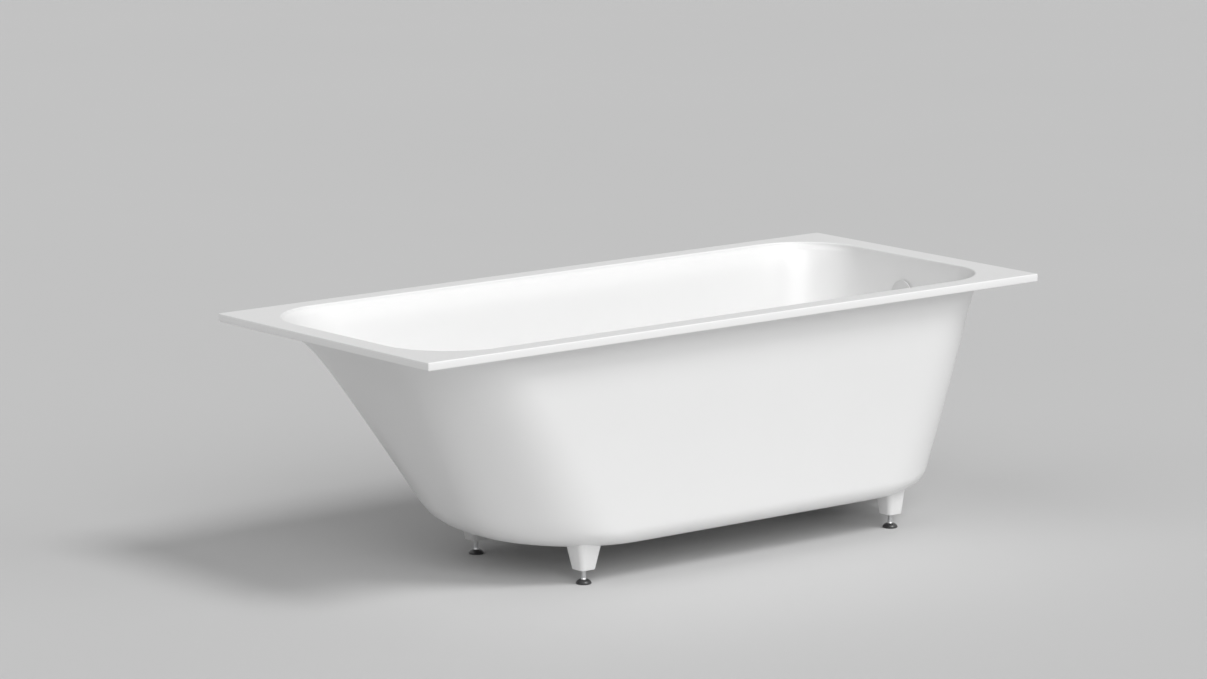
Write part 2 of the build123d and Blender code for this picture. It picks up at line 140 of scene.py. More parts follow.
# %% A socket that can be calculated with
class Wire:
    """An output socket of a material's tree."""

    def __init__(self, tree, socket=None):
        self.tree = tree
        self.socket = socket

    def make(self, kind, settings=None, sockets=None, output=0):
        """Adds a node, sets it up, feeds its sockets and returns one output."""
        node = self.tree.nodes.new("ShaderNode" + kind)
        for name, value in (settings or {}).items():
            setattr(node, name, value)
        for name, value in (sockets or {}).items():
            if isinstance(value, Wire):
                self.tree.links.new(value.socket, node.inputs[name])
            else:
                node.inputs[name].default_value = value
        return Wire(self.tree, node.outputs[output] if len(node.outputs) else None)

    def math(self, operation, first, second):
        return self.make("Math", {"operation": operation}, {0: first, 1: second})

    def __add__(self, other):
        return self.math("ADD", self, other)

    def __radd__(self, other):
        return self.math("ADD", other, self)

    def __sub__(self, other):
        return self.math("SUBTRACT", self, other)

    def __rsub__(self, other):
        return self.math("SUBTRACT", other, self)

    def __mul__(self, other):
        return self.math("MULTIPLY", self, other)

    def __rmul__(self, other):
        return self.math("MULTIPLY", other, self)


def new_material(name, finish, **constants):
    """A material whose varying sockets come from finish(wire), and whose fixed ones are constants."""
    material = bpy.data.materials.new(name)
    material.use_nodes = True
    tree = material.node_tree
    tree.nodes.clear()
    sockets = {key.replace("_", " ").title(): value for key, value in constants.items()}
    sockets = {key.replace("Ior", "IOR"): value for key, value in sockets.items()}
    wire = Wire(tree)
    sockets.update(finish(wire))
    shader = wire.make("BsdfPrincipled", {}, sockets)
    wire.make("OutputMaterial", {}, {"Surface": shader})
    return material


def noise(wire, scale, detail=3.0, roughness=0.55, stretch=(1.0, 1.0, 1.0)):
    """A noise from 0 to 1 on the piece's own coordinates; scale is in waves per metre."""
    place = wire.make("TexCoord", {}, {}, output="Object")
    place = wire.make("Mapping", {}, {"Vector": place, "Scale": stretch})
    sockets = {"Vector": place, "Scale": scale, "Detail": detail, "Roughness": roughness}
    return wire.make("TexNoise", {}, sockets)


def bump(wire, height, distance, strength=1.0):
    """Turns a height from 0 to 1 into a normal; distance is its real height in metres."""
    sockets = {"Height": height, "Distance": distance, "Strength": strength}
    return wire.make("Bump", {}, sockets, output="Normal")


def tint(wire, mask, dark, light):
    """A colour between two colours."""
    return wire.make("Mix", {"data_type": "RGBA"}, {0: mask, 6: (*dark, 1.0), 7: (*light, 1.0)}, output=2)


# %% [markdown]
# ## Finishes
#
# Cast mineral is white all through, with a gelcoat on top that is smooth but not quite level. A single
# white would look like paper. So the colour hardly changes, the gloss changes a little, and long shallow
# waves bend the reflections, while a weak coat over it gives the soft sheen of the gelcoat.

# %% The casting
def casting_finish(wire):
    cloud = noise(wire, 3.0)
    grain = noise(wire, 900.0, detail=2.0)
    waves = noise(wire, 11.0, detail=1.0)
    height = waves * 0.9 + grain * 0.1
    return {
        "Base Color": tint(wire, cloud, (0.86, 0.86, 0.858), (0.885, 0.885, 0.884)),
        "Roughness": 0.30 + cloud * 0.06 + grain * 0.04,
        "Normal": bump(wire, height, 0.00025, 0.25),
    }


casting = new_material("cast_mineral", casting_finish, coat_weight=0.25, coat_roughness=0.22, ior=1.5)

# %% [markdown]
# ## Metals
#
# Three metals are seen: polished chrome, the zinc on the rods and turned brass. They differ in colour and
# most of all in roughness, so each has its own noise there: a faint haze on the chrome, the spangle of
# zinc, and on the brass a noise squeezed along the axis, which leaves the rings of the lathe tool.

# %% Chrome, zinc and brass
def chrome_finish(wire):
    haze = noise(wire, 60.0)
    return {
        "Base Color": tint(wire, haze, (0.78, 0.79, 0.80), (0.84, 0.845, 0.85)),
        "Roughness": 0.05 + haze * 0.06,
    }


def zinc_finish(wire):
    spangle = noise(wire, 420.0, detail=4.0)
    return {
        "Base Color": tint(wire, spangle, (0.68, 0.685, 0.69), (0.82, 0.825, 0.83)),
        "Roughness": 0.30 + spangle * 0.16,
        "Normal": bump(wire, spangle, 0.00004, 0.3),
    }


def brass_finish(wire):
    turning = noise(wire, 300.0, stretch=(1.0, 1.0, 14.0))
    return {
        "Base Color": tint(wire, turning, (0.60, 0.43, 0.17), (0.78, 0.60, 0.28)),
        "Roughness": 0.22 + turning * 0.16,
        "Normal": bump(wire, turning, 0.00003, 0.4),
    }


chrome = new_material("chrome_plate", chrome_finish, metallic=1.0)
zinc = new_material("zinc_plate", zinc_finish, metallic=1.0)
brass = new_material("turned_brass", brass_finish, metallic=1.0)

# %% [markdown]
# ## Plastics and rubber
#
# A moulded part copies the surface of its tool: an even fine grain, and faint clouds where the melt met.
# All plastics and rubbers are that one recipe with other colours, grain sizes and roughnesses, so a
# function makes the finish and each material is one call.

# %% Moulded skins
def moulded(dark, light, rough, grain_size=1400.0, depth=0.00003):
    """A moulded skin: faint clouds in the colour and a fine even grain."""

    def finish(wire):
        cloud = noise(wire, 26.0)
        grain = noise(wire, grain_size, detail=2.0)
        return {
            "Base Color": tint(wire, cloud, dark, light),
            "Roughness": rough + cloud * 0.08 + grain * 0.05,
            "Normal": bump(wire, grain, depth, 0.5),
        }

    return finish


cover_white = new_material("cover_white", moulded((0.72, 0.72, 0.72), (0.76, 0.76, 0.76), 0.28), ior=1.46)
pad_skin = moulded((0.012, 0.012, 0.013), (0.022, 0.022, 0.024), 0.36)
pad_black = new_material("pad_black", pad_skin, ior=1.55, coat_weight=0.6, coat_roughness=0.34)
rubber_skin = moulded((0.018, 0.018, 0.019), (0.035, 0.035, 0.036), 0.62, 2200.0, 0.00006)
rubber = new_material("seal_rubber", rubber_skin)
foam_skin = moulded((0.68, 0.68, 0.67), (0.76, 0.76, 0.75), 0.75, 2600.0, 0.0001)
foam = new_material("seal_foam", foam_skin)
fitting_skin = moulded((0.34, 0.345, 0.35), (0.40, 0.405, 0.41), 0.42, 1100.0, 0.00005)
fitting_grey = new_material("fitting_grey", fitting_skin)
pipe_white = new_material("pipe_white", moulded((0.74, 0.74, 0.73), (0.80, 0.80, 0.79), 0.36))
finishes = {
    "cast_white": casting,
    "insert_brass": brass,
    "rod_steel": zinc,
    "pad_black": pad_black,
    "seal_rubber": rubber,
    "seal_white": foam,
    "chrome": chrome,
    "cover_white": cover_white,
    "fittings_grey": fitting_grey,
    "pipe_white": pipe_white,
    "spring_steel": zinc,
}
print("finishes:", len(finishes))


# %% [markdown]
# ## Finishing a piece
#
# Every piece ends the same way, so one function does it. The normals are made to point outwards, edges
# are marked sharp where the faces meet at a clear angle, and the rest is shaded smooth. The mesh, not
# the object, is scaled from millimetres to metres, so that patterns and exports need no correction.

# %% From bmesh to object
def finish_piece(bm, name, body, slot, stands_for=(), sharp=38.0):
    """Makes the object, hangs it on its body and hides the nodes that it stands for."""
    bmesh.ops.recalc_face_normals(bm, faces=bm.faces)
    for edge in bm.edges:
        edge.smooth = edge.calc_face_angle(0.0) < radians(sharp)
    for face in bm.faces:
        face.smooth = True
    bm.transform(Matrix.Scale(MM, 4))
    mesh = bpy.data.meshes.new(name)
    bm.to_mesh(mesh)
    bm.free()
    mesh.materials.append(finishes[slot])
    piece = bpy.data.objects.new(name, mesh)
    bpy.context.scene.collection.objects.link(piece)
    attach(piece, body)
    for node in stands_for:
        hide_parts(node)
    print(name, len(mesh.polygons), "faces")
    return piece


# %% [markdown]
# ## The walls of the tub
#
# Each wall is a line that leans outwards, flares under the rim and ends in a round toe at the floor.
# The inner wall is the same line one wall thickness further in, measured square to the surface, so the
# casting is equally thick all over.

# %% How far a wall has come in at a level
def wall_line(depth, shape):
    """Place and lean of a wall at a depth under the rim, above its toe."""
    slope, flare, bow = shape["slope"], shape["flare"], shape["bow"]
    fade = exp(-depth / shape["flare_depth"])
    place = slope * depth + flare * (1 - fade) + bow * (depth / body_depth) ** 2
    lean = slope + flare / shape["flare_depth"] * fade + 2 * bow * depth / body_depth**2
    return place, lean


def inset(level, shape, skin):
    """How far a wall lies inside the edge of the body's top."""
    toe_centre = underside + shape["toe"]
    radius = shape["toe"] - skin
    toe_lean = atan(wall_line(body_depth - shape["toe"], shape)[1])
    if level >= toe_centre - radius * sin(toe_lean):
        place, lean = wall_line(body_top - level, shape)
        return place + skin * sqrt(1 + lean**2)
    place = wall_line(body_top - toe_centre + shape["toe"] * sin(toe_lean), shape)[0]
    drop = toe_centre - level
    return place + shape["toe"] * cos(toe_lean) - sqrt(max(0.0, radius**2 - drop**2))


# %% [markdown]
# ## Outlines
#
# Every level of the tub is an oblong with round corners. All outlines have the same number of points
# in the same order, so one outline can be moved on to the next like the rings of a sleeve.

# %% An outline and a point on it
arc_steps = 26
long_steps = 30
short_steps = 12
steps_of_side = (long_steps, short_steps, long_steps, short_steps)
ring_count = 4 * arc_steps + sum(steps_of_side)


class Outline:
    """A level oblong: ends, half width, head and foot corner radii, and its level."""

    def __init__(self, head_x, foot_x, half_width, corners, level):
        self.head_x = head_x
        self.foot_x = foot_x
        self.half_width = half_width
        self.corners = [min(corner, corner_share * half_width) for corner in corners]
        self.level = level

    def grown(self, amount, level=None):
        """The same outline further out, with its corners grown alike."""
        corners = [max(0.5, corner + amount) for corner in self.corners]
        level = self.level if level is None else level
        return Outline(self.head_x - amount, self.foot_x + amount, self.half_width + amount, corners, level)

    def corner_point(self, corner, turn):
        """A point on corner 0 to 3, head front first, at a turn from 0 to 1."""
        head, foot = self.corners
        radius = head if corner in (0, 3) else foot
        x = self.head_x + radius if corner in (0, 3) else self.foot_x - radius
        y = self.half_width - radius if corner in (2, 3) else radius - self.half_width
        angle = pi + (corner + turn) * pi / 2
        return Vector((x + radius * cos(angle), y + radius * sin(angle), self.level))

    def point(self, index):
        """The point with this number, counted round from the head front corner."""
        for corner in range(4):
            if index <= arc_steps:
                return self.corner_point(corner, index / arc_steps)
            index -= arc_steps
            if index < steps_of_side[corner]:
                start = self.corner_point(corner, 1)
                end = self.corner_point((corner + 1) % 4, 0)
                return start.lerp(end, index / steps_of_side[corner])
            index -= steps_of_side[corner]


def wall_outline(level, skin):
    """The tub's outline at a level, at a depth under its outer skin."""
    height = (level - underside - skin) / (body_depth - skin)
    bulge = 1 - height**2
    corners = [top + (low - top) * bulge - skin for top, low in zip(corners_at_top, corners_at_bottom)]
    return Outline(
        head_rim - wall - half_length + inset(level, head_wall, skin),
        half_length - foot_rim + wall - inset(level, foot_wall, skin),
        half_width - side_rim + wall - inset(level, side_wall, skin),
        corners,
        level,
    )


waste_x = 570.0
waste_hole = 26.0
waste_recess = 38.0
recess_depth = 3.0


class WasteRing:
    """A circle round the waste whose points face the points of the underside's outline."""

    def __init__(self, radius, level):
        self.radius = radius
        self.level = level
        self.faced = wall_outline(underside, 0)

    def point(self, index):
        centre = Vector((waste_x, 0, self.level))
        aim = self.faced.point(index) - centre
        aim.z = 0
        return centre + aim.normalized() * self.radius


print("points in an outline:", ring_count)

# %% [markdown]
# ## The casting in one sleeve
#
# The tub's skin is a closed sleeve: from the waste hole outwards under the tub, up the outside, round
# the rim, down the inside and over the floor back to the hole. So it is made the way a modeller pulls
# it: one ring, whose edges are extruded again and again, with each new ring moved to its outline.

# %% The outlines that the sleeve passes
toe_turns = 20
toe_turn = radians(58) / toe_turns
upper_steps = 30
rounding_steps = 4
lip_steps = 6
support = 1.5


def wall_levels(skin):
    """Levels from the floor up: even turns round the largest toe, then closer towards the rim."""
    radius = head_wall["toe"] - skin
    floor = underside + skin
    toe = [floor + radius * (1 - cos(step * toe_turn)) for step in range(toe_turns)]
    first = floor + radius * (1 - cos(toe_turns * toe_turn))
    rest = body_top - first
    upper = [body_top - rest * (1 - step / upper_steps) ** 2 for step in range(upper_steps + 1)]
    return toe + upper


def sleeve_outlines():
    """All outlines in order, from the waste hole round the casting and back."""
    outer = [wall_outline(level, 0) for level in wall_levels(0)]
    inner = [wall_outline(level, wall) for level in reversed(wall_levels(wall))]
    rim = Outline(-half_length, half_length, half_width, (rim_corner, rim_corner), rim_height)
    opening_head = head_rim - half_length
    opening_foot = half_length - foot_rim
    opening = Outline(opening_head, opening_foot, half_width - side_rim, opening_corners, rim_height)
    low_ring = [WasteRing(radius, underside) for radius in (waste_hole, waste_hole + support)]
    passed = low_ring + [outer[0].grown(-support)] + outer
    passed += [outer[-1].grown(support), rim.grown(-rim_edge - support, body_top)]
    for side, centre in ((-1, body_top + rim_edge), (1, rim_height - rim_edge)):
        turns = range(rounding_steps + 1)
        for turn in (turns if side < 0 else reversed(turns)):
            angle = turn / rounding_steps * pi / 2
            passed.append(rim.grown(rim_edge * (sin(angle) - 1), centre + side * rim_edge * cos(angle)))
    passed += [rim.grown(-rim_edge - support, rim_height), opening.grown(lip_edge + support)]
    for turn in range(lip_steps + 1):
        angle = turn / lip_steps * pi / 2
        passed.append(opening.grown(lip_edge * (1 - sin(angle)), rim_height - lip_edge * (1 - cos(angle))))
    passed += blend_outlines(opening.grown(0, rim_height - lip_edge), inner[0], inner[1])
    passed += inner
    passed += [inner[-1].grown(-support)]
    seat = floor_top - recess_depth
    passed += [WasteRing(radius, floor_top) for radius in (waste_recess + support, waste_recess)]
    passed += [WasteRing(radius, seat) for radius in (waste_recess, waste_hole)]
    return passed + [WasteRing(waste_hole, underside)]


def blend_outlines(start, end, after, steps=6):
    """Outlines between the lip and the wall, upright at the lip and in line with the wall below."""
    drop = start.level - end.level
    slope_run = drop / (end.level - after.level)

    def eased(first, second, third, share):
        pull = (third - second) * slope_run
        rise = 3 * share**2 - 2 * share**3
        return first + (second - first) * rise + pull * (share**3 - share**2)

    made = []
    for step in range(1, steps):
        share = step / steps
        made.append(
            Outline(
                eased(start.head_x, end.head_x, after.head_x, share),
                eased(start.foot_x, end.foot_x, after.foot_x, share),
                eased(start.half_width, end.half_width, after.half_width, share),
                [eased(a, b, c, share) for a, b, c in zip(start.corners, end.corners, after.corners)],
                start.level - drop * share,
            )
        )
    return made


outlines = sleeve_outlines()
print("outlines:", len(outlines))


# %% Pull the sleeve
def pull_edges(bm, edges):
    """Extrudes edges in place, and returns the new vertices and the new edges."""
    made = bmesh.ops.extrude_edge_only(bm, edges=edges)["geom"]
    verts = {item for item in made if isinstance(item, bmesh.types.BMVert)}
    pulled = [item for item in made if isinstance(item, bmesh.types.BMEdge)]
    return verts, [edge for edge in pulled if verts.issuperset(edge.verts)]


def pull_sleeve(bm, passed):
    """Extrudes one ring of edges through all the outlines and closes it on itself."""
    number = bm.verts.layers.int.new("number")
    ring = bmesh.ops.create_circle(bm, segments=ring_count, radius=1.0)["verts"]
    for index, vert in enumerate(ring):
        vert[number] = index
        vert.co = passed[0].point(index)
    edges = list(bm.edges)
    for outline in passed[1:]:
        ring, edges = pull_edges(bm, edges)
        for vert in ring:
            vert.co = outline.point(vert[number])
    bmesh.ops.remove_doubles(bm, verts=bm.verts, dist=0.0005)


tub_mesh = bmesh.new()
pull_sleeve(tub_mesh, outlines)
print("open edges:", sum(edge.is_boundary for edge in tub_mesh.edges))

# %% [markdown]
# ## The overflow hole
#
# The sleeve has no hole in its foot wall yet. A modeller opens one by deleting the faces it touches,
# pulling the ragged edge in to a circle, and joining the circles of both skins through the wall. The
# wall leans a little there, so the work is done in a frame that stands square to it.

# %% Open the overflow hole
overflow_level = rim_height - 90.0
overflow_lean = atan(wall_line(body_top - overflow_level, foot_wall)[1])
seat_depth = 0.4
overflow_x = half_length - foot_rim + wall - inset(overflow_level, foot_wall, wall - seat_depth)
overflow_place = Matrix.Translation((overflow_x, 0, overflow_level))
overflow_frame = overflow_place @ Matrix.Rotation(overflow_lean - pi / 2, 4, "Y")
overflow_hole = 26.0
overflow_seat = 31.0
opened_reach = 44.0


def open_skin(bm, depth, circles):
    """Deletes a skin's faces round the overflow's axis and pulls the edge in through circles."""
    square = overflow_frame.inverted()
    touched = set()
    for face in bm.faces:
        place = square @ face.calc_center_median()
        if abs(place.z - depth) < wall / 3 and max(abs(place.x), abs(place.y)) < opened_reach:
            touched.add(face)
    border = {edge for face in touched for edge in face.edges if not touched.issuperset(edge.link_faces)}
    bmesh.ops.delete(bm, geom=list(touched), context="FACES")
    edges = list(border)
    for radius, height in circles:
        verts, edges = pull_edges(bm, edges)
        for vert in verts:
            place = square @ vert.co
            place.z = 0
            vert.co = overflow_frame @ (place.normalized() * radius + Vector((0, 0, height)))
    return edges


outer_skin = seat_depth - wall
seat_circles = [
    (overflow_seat + support, seat_depth),
    (overflow_seat, seat_depth),
    (overflow_seat, 0.0),
    (overflow_hole, 0.0),
]
back_circles = [(overflow_hole + support, outer_skin), (overflow_hole, outer_skin)]
inside = open_skin(tub_mesh, seat_depth, seat_circles)
outside = open_skin(tub_mesh, outer_skin, back_circles)
bmesh.ops.bridge_loops(tub_mesh, edges=inside + outside)
print("open edges:", sum(edge.is_boundary for edge in tub_mesh.edges))

# %% Finish the casting
tub_tree = BVHTree.FromBMesh(tub_mesh)
finish_piece(tub_mesh, "tub_casting", "tub", "cast_white", ["tub_shell"])

# %% [markdown]
# ## Turned pieces
#
# Pads, discs, flanges and seals are all turned: a profile spun round an axis, as on a lathe. They could
# be stacked from cylinders, but a profile holds every step and groove in one list. Real corners are
# never sharp, so each corner of the list has a rounding, and a helper draws the arcs.

# %% Rounded profiles
def rounded(corners, steps=4):
    """Turns corners (radius, height, rounding) into the points of the profile."""
    points = []
    for index, (x, z, rounding) in enumerate(corners):
        corner = Vector((x, z))
        if rounding == 0:
            points.append(corner)
            continue
        before = (Vector(corners[index - 1][:2]) - corner).normalized()
        after = (Vector(corners[(index + 1) % len(corners)][:2]) - corner).normalized()
        half = before.angle(after) / 2
        centre = corner + (before + after).normalized() * (rounding / sin(half))
        spokes = [corner + side * (rounding / tan(half)) - centre for side in (before, after)]
        first, last = [atan2(spoke.y, spoke.x) for spoke in spokes]
        sweep = (last - first + pi) % (2 * pi) - pi
        for step in range(steps + 1):
            angle = first + sweep * step / steps
            points.append(centre + Vector((cos(angle), sin(angle))) * rounding)
    return points


def arc(x, z, radius, first, last, steps=8):
    """Profile corners on an arc, with its angles in degrees."""
    angles = [radians(first + (last - first) * step / steps) for step in range(steps + 1)]
    return [(x + radius * cos(angle), z + radius * sin(angle), 0) for angle in angles]


# %% Spinning a profile
upright = Matrix.Identity(4)


def draw_profile(bm, points):
    """A chain of edges, closed unless it starts and ends on the axis."""
    verts = bmesh.ops.create_vert(bm, co=(points[0].x, 0, points[0].y))["vert"]
    edges = []
    for point in points[1:]:
        made = bmesh.ops.extrude_vert_indiv(bm, verts=[verts[-1]])
        made["verts"][0].co = (point.x, 0, point.y)
        verts = verts + made["verts"]
        edges += made["edges"]
    if points[0].x > 0 or points[-1].x > 0:
        edges += bmesh.ops.contextual_create(bm, geom=[verts[-1], verts[0]])["edges"]
    return verts, edges


def add_turned(bm, corners, frame=upright, steps=64, sweep=360.0, start=0.0, rise=0.0):
    """Spins a rounded profile round the Z axis of a frame; a sweep of part of a turn gets end caps."""
    older = set(bm.verts)
    verts, edges = draw_profile(bm, rounded(corners))
    whole = sweep == 360.0
    faces = [] if whole else bmesh.ops.contextual_create(bm, geom=edges)["faces"]
    bmesh.ops.spin(
        bm,
        geom=verts + edges + faces,
        cent=(0, 0, 0),
        axis=(0, 0, 1),
        dvec=(0, 0, rise / steps),
        angle=radians(sweep),
        steps=steps,
        use_merge=whole,
    )
    bmesh.ops.remove_doubles(bm, verts=[vert for vert in bm.verts if vert not in older], dist=0.001)
    made = [vert for vert in bm.verts if vert not in older]
    bmesh.ops.rotate(bm, cent=(0, 0, 0), matrix=Matrix.Rotation(radians(start), 3, "Z"), verts=made)
    bmesh.ops.transform(bm, matrix=frame, verts=made)


def bevel_edges(bm, edges, width, segments):
    """Rounds edges, with the settings that the operator doesn't have by itself."""
    bmesh.ops.bevel(
        bm, geom=list(edges), offset=width, segments=segments, profile=0.5, affect="EDGES", material=-1
    )


def add_block(bm, size, place, frame=upright, turn=0.0, edge=0.5):
    """A block with bevelled edges at a place, turned round the frame's Z axis."""
    older = set(bm.verts)
    made = bmesh.ops.create_cube(bm, size=1.0)["verts"]
    bmesh.ops.scale(bm, vec=size, verts=made)
    edges = {item for vert in made for item in vert.link_edges}
    bevel_edges(bm, edges, edge, 2)
    made = [vert for vert in bm.verts if vert not in older]
    bmesh.ops.translate(bm, vec=place, verts=made)
    bmesh.ops.transform(bm, matrix=frame @ Matrix.Rotation(radians(turn), 4, "Z"), verts=made)


# %% [markdown]
# ## Levelling feet
#
# A leg block is bonded under the casting, and a brass insert in it carries a threaded rod. The rod
# ends in a ball that snaps into the pad. The top of a block has to follow the round underside. It could
# be cut there, but then its faces turn ragged. So the block's upright edges are cast up along their own
# lean until they nearly touch the casting, which keeps the block clean and the bond line even.

# %% Sizes of the feet
leg_places = {
    "head_front": (-301.5, -189.0, 0.20),
    "head_back": (-301.5, 189.0, 0.20),
    "foot_front": (579.0, -189.0, 0.12),
    "foot_back": (579.0, 189.0, 0.12),
}
leg_bottom = 32.5
leg_width = 40.0
leg_corner = 9.0
corner_segments = 8
bond_gap = 0.3
insert_hole = 9.05
insert_bottom = 33.6
insert_top = 51.5
rod_hole = 7.0
rod_hole_top = 76.0
core = 5.05
crest = 5.97
pitch = 1.75
thread_bottom = 13.2
thread_turns = 26


# %% Leg blocks
def leg_block(bm, flare):
    """A block with round upright corners that widens upwards until it meets the casting."""
    height = 100.0
    verts = bmesh.ops.create_cube(bm, size=1.0)["verts"]
    bmesh.ops.scale(bm, vec=(leg_width, leg_width, height), verts=verts)
    bmesh.ops.translate(bm, vec=(0, 0, leg_bottom + height / 2), verts=verts)
    upright_edges = [edge for edge in bm.edges if abs(edge.verts[0].co.z - edge.verts[1].co.z) > height / 2]
    bevel_edges(bm, upright_edges, leg_corner, corner_segments)
    top = [vert for vert in bm.verts if vert.co.z > leg_bottom + height / 2]
    widening = 1 + 2 * flare * height / leg_width
    bmesh.ops.scale(bm, vec=(widening, widening, 1), verts=top)
    base = [face for face in bm.faces if all(vert.co.z < leg_bottom + 1 for vert in face.verts)][0]
    bevel_edges(bm, base.edges, 1.0, 3)
    return top


def bore_leg(bm):
    """Opens the flat underside to a round hole and pulls the hole up in steps."""
    base = min(bm.faces, key=lambda face: face.calc_center_median().z + abs(face.normal.z + 1))
    border = list(base.edges)
    bmesh.ops.delete(bm, geom=[base], context="FACES_ONLY")
    steps = [(insert_hole, leg_bottom), (insert_hole, insert_top)]
    steps += [(rod_hole, insert_top), (rod_hole, rod_hole_top)]
    edges = border
    for radius, level in steps:
        verts, edges = pull_edges(bm, edges)
        for vert in verts:
            vert.co = Vector((vert.co.x, vert.co.y, 0)).normalized() * radius + Vector((0, 0, level))
    bmesh.ops.holes_fill(bm, edges=edges)


def cast_up(bm, top, x, y):
    """Moves the top of the block along its leaning corners until it is a bond's width off the casting."""
    for vert in top:
        below = min((edge.other_vert(vert) for edge in vert.link_edges), key=lambda other: other.co.z)
        aim = (vert.co - below.co).normalized()
        offset = Vector((x, y, 0))
        hit = tub_tree.ray_cast(below.co + offset, aim)[0]
        vert.co = hit - offset - aim * bond_gap


for corner, (x, y, flare) in leg_places.items():
    leg_mesh = bmesh.new()
    top_verts = leg_block(leg_mesh, flare)
    cast_up(leg_mesh, top_verts, x, y)
    bore_leg(leg_mesh)
    leg_mesh.transform(Matrix.Translation((x, y, 0)))
    finish_piece(leg_mesh, "leg_block_" + corner, "tub", "cast_white", ["leg_" + corner])

# %% Inserts
insert_profile = [
    (6.05, insert_bottom, 0.4),
    (9.0, insert_bottom, 0.3),
    (9.0, 40.3, 0),
    (7.8, 40.3, 0),
    (7.8, 42.7, 0),
    (9.0, 42.7, 0),
    (9.0, insert_top, 0.3),
    (6.05, insert_top, 0.4),
]


def set_four(bm, name, node, slot, rides_on=None):
    """Finishes one copy of a piece at each foot; it rides on the tub or on that foot's own body."""
    for corner, (x, y, flare) in leg_places.items():
        copy = bm.copy()
        copy.transform(Matrix.Translation((x, y, 0)))
        body = rides_on or node + corner
        finish_piece(copy, name + corner, body, slot, [node + corner])
    bm.free()


insert_mesh = bmesh.new()
add_turned(insert_mesh, insert_profile, steps=48)
set_four(insert_mesh, "threaded_insert_", "insert_", "insert_brass", "tub")

# %% [markdown]
# ## Rods and pads
#
# The thread is a ridge that climbs round a core. Its profile is spun and lifted at the same time, one
# pitch for each turn, so it is true geometry and holds up in a close view. The pads are moulded domes
# with rings under them that grip the floor, and each is one profile, spun. All four feet are alike, so
# each mesh is made once and copied to its places.

# %% Rods with their threads
core_profile = arc(0, 9.5, 5.98, -90, 32)
core_profile += [(core, 12.8, 0), (core, 61.0, 0), (core - 1.0, 62.0, 0), (0, 62.0, 0)]
ridge_profile = [
    (core - 0.15, thread_bottom, 0),
    (crest, thread_bottom + 0.62, 0),
    (crest, thread_bottom + 0.83, 0),
    (core - 0.15, thread_bottom + 1.45, 0),
]
turn_steps = 32
rod_mesh = bmesh.new()
add_turned(rod_mesh, core_profile, steps=turn_steps)
thread_sweep = 360.0 * thread_turns
thread_rise = pitch * thread_turns
add_turned(rod_mesh, ridge_profile, steps=turn_steps * thread_turns, sweep=thread_sweep, rise=thread_rise)
print("thread", thread_rise, "mm long")
set_four(rod_mesh, "threaded_rod_", "rod_", "rod_steel")

# %% Pads
grip_rings = [(4.5, 0.8, 0.2), (4.5, 0, 0.2), (6.5, 0, 0.2), (6.5, 0.8, 0.2)]
grip_rings += [(9.0, 0.8, 0.2), (9.0, 0, 0.2), (11.0, 0, 0.2), (11.0, 0.8, 0.2)]
pad_profile = [(0, 0.8, 0)] + grip_rings
pad_profile += [(13.2, 0.8, 0.2), (13.2, 0, 0.2), (15.8, 0, 0.4)]
pad_profile += [(17.0, 1.6, 0.6), (17.0, 3.3, 0.4), (16.1, 3.5, 0.1)]
pad_profile += arc(5.3, -2.17, 12.72, 29, 73)
pad_profile += [(8.6, 10.15, 0.4), (6.3, 10.15, 0.3), (6.06, 9.8, 0)]
pad_profile += arc(0, 9.5, 6.05, 0, -90)
pad_mesh = bmesh.new()
add_turned(pad_mesh, pad_profile, steps=72)
set_four(pad_mesh, "foot_pad_", "pad_", "pad_black")

# %% [markdown]
# ## Overflow
#
# A flat white disc stands a little off the wall, so that water can slip in behind it. Three sprung
# clips hold it in the throat of a chromed flange. A screw pulls that flange against the elbow outside.

# %% Overflow cover with its clips
cover_back = 4.5
cover_front = 7.1
lip_top = 2.0
cover_mesh = bmesh.new()
disc_profile = [(0, cover_back, 0), (33, cover_back, 0.7), (33, cover_front, 1.0), (0, cover_front, 0)]
add_turned(cover_mesh, disc_profile, overflow_frame, 96)
clip_profile = [(20.9, -4.0, 0.3), (22.0, -4.0, 0.2), (22.4, -3.2, 0.2), (21.9, -2.2, 0.3)]
clip_profile += [(22.3, 4.6, 0), (20.9, 4.6, 0)]
for clip in range(3):
    add_turned(cover_mesh, clip_profile, overflow_frame, 20, 83.0, 120 * clip + 48.5)
finish_piece(cover_mesh, "overflow_disc", "tub", "cover_white", ["overflow_cover"])

# %% Overflow flange
flange_mesh = bmesh.new()
flange_profile = [(22.5, -10, 0.4), (25, -10, 0.3), (25, 0.6, 0)]
flange_profile += [(30, 0.6, 0.2), (30, lip_top, 0.7), (22.5, lip_top, 0.6)]
add_turned(flange_mesh, flange_profile, overflow_frame, 80)
boss_profile = [(3.05, -10, 0.3), (7.5, -10, 0.4), (7.5, -5, 0.4), (3.05, -5, 0.3)]
add_turned(flange_mesh, boss_profile, overflow_frame, 40)
for arm in range(3):
    add_block(flange_mesh, (16.5, 4.0, 5.0), (15.2, 0, -7.5), overflow_frame, 120 * arm + 30)
finish_piece(flange_mesh, "overflow_ring", "tub", "chrome", ["overflow_flange"])

